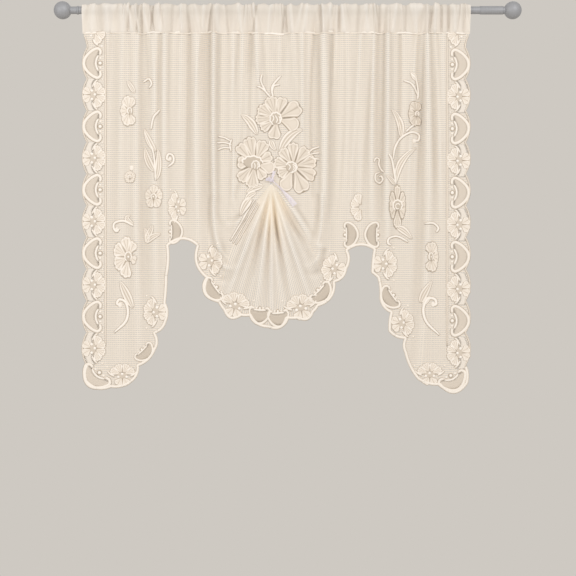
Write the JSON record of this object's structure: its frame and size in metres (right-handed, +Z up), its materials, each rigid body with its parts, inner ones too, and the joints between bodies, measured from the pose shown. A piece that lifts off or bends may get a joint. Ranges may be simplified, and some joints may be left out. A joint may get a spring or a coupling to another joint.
{
  "type": "lace curtain swag on curtain rod",
  "caption": "Lace curtain gathered on a steel rod with ball ends; its scalloped hem arches between side tails and a middle swag that a satin ribbon ties up into a fan of pleats.",
  "frame": {"origin": "on the rod's axis, midway between the outer ends of the two balls", "axes": "+X to the right along the rod, +Z up, and the front of the cloth faces -Y"},
  "size_m": [1.0852, 0.0559, 0.9081],
  "materials": {
    "rod_steel": "satin grey metal",
    "cream_lace": "cream polyester lace net with raised flowers",
    "lilac_satin": "pale lilac satin ribbon"
  },
  "bodies": {
    "root": {"rod": "rod_steel", "rod_sleeve": "rod_steel", "finial_left": "rod_steel", "finial_right": "rod_steel", "lace_panel": "cream_lace", "ribbon_tie": "lilac_satin"}
  },
  "joints": []
}
